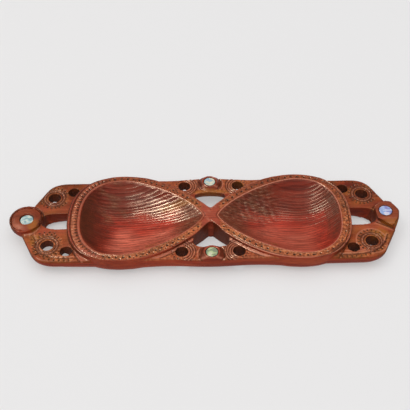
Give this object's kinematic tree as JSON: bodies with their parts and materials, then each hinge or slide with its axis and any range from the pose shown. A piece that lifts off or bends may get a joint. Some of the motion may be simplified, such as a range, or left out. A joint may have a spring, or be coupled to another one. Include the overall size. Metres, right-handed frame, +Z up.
{
  "type": "wooden serving tray",
  "caption": "Long low serving tray carved from one board: teardrop bowls joined at a crossing of their rims, pierced wings with knobs, pierced side frames and round shell inlays.",
  "frame": {"origin": "centre of the tray's length and width, on the plane that its bowls rest on", "axes": "+X along the tray's length to the end with the angular knob, +Y from the front edge to the back edge, +Z up"},
  "size_m": [0.424, 0.1226, 0.025],
  "materials": {
    "carved_wood": "gloss lacquer over reddish-brown hardwood, with gouge marks left in the bowls",
    "polished_shell": "polished",
    "inlay_filler": "matt"
  },
  "bodies": {
    "root": {"carved_board": "carved_wood", "shell_disc_left": "polished_shell", "shell_disc_right": "polished_shell", "shell_disc_front": "polished_shell", "shell_disc_back": "polished_shell", "glue_bed_left": "inlay_filler", "glue_bed_right": "inlay_filler", "glue_bed_front": "inlay_filler", "glue_bed_back": "inlay_filler"}
  },
  "joints": []
}
